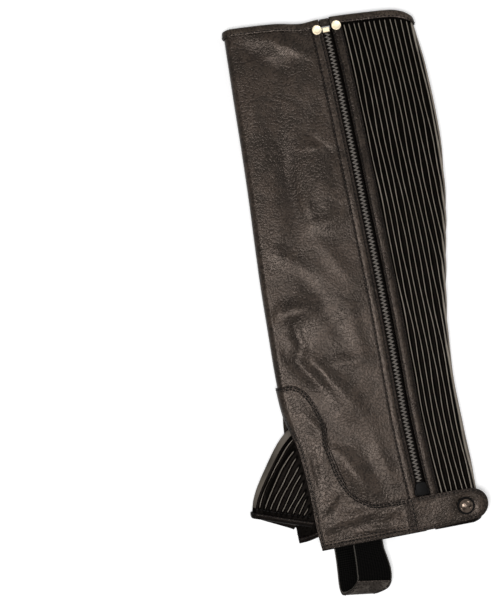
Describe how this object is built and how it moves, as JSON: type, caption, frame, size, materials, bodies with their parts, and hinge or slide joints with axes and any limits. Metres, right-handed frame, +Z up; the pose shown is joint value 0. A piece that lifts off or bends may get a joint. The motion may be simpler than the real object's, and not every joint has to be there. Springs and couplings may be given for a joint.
{
  "type": "half chap",
  "caption": "Half chap for a lower left leg, laid flat: a leather gaiter with a tucked stretch calf, a side zip, a snap tab at the hem and an elastic loop for under the foot.",
  "frame": {"origin": "middle of the outline, on the surface that the chap lies on", "axes": "+Y from the hem to the knee edge, +X from the shin to the calf, +Z up from the surface, out of the zip side"},
  "size_m": [0.2208, 0.4948, 0.0219],
  "materials": {
    "black_leather": "soft grained, semi-gloss",
    "ankle_leather": "grained, semi-gloss",
    "binding_leather": "smooth, semi-gloss",
    "tucked_leather": "soft tucked, semi-gloss",
    "black_elastic": "woven, matt",
    "sole_leather": "smooth, worn",
    "zip_polyester": "satin",
    "black_enamel": "gloss",
    "pale_brass": "polished",
    "gunmetal": "gloss"
  },
  "bodies": {
    "root": {"ankle_piece": "ankle_leather", "gusset_binding": "binding_leather", "hem_binding_rear": "binding_leather", "hem_facing_front": "black_elastic", "instep_gusset": "tucked_leather", "main_panel": "black_leather", "rear_seam_strip": "ankle_leather", "snap_cap": "gunmetal", "snap_socket": "gunmetal", "snap_tab": "ankle_leather", "stirrup_elastic": "black_elastic", "stirrup_patch": "binding_leather", "stirrup_sole_cover": "sole_leather", "stretch_panel": "tucked_leather", "top_binding": "binding_leather", "top_rivet_front": "pale_brass", "top_rivet_rear": "pale_brass", "zip_box": "pale_brass", "zip_coil_front": "zip_polyester", "zip_coil_rear": "zip_polyester", "zip_facing_front": "ankle_leather", "zip_facing_rear": "ankle_leather", "zip_pull": "black_enamel", "zip_slider": "black_enamel", "zip_tape_front": "zip_polyester", "zip_tape_rear": "zip_polyester", "zip_top_cap": "ankle_leather"}
  },
  "joints": []
}
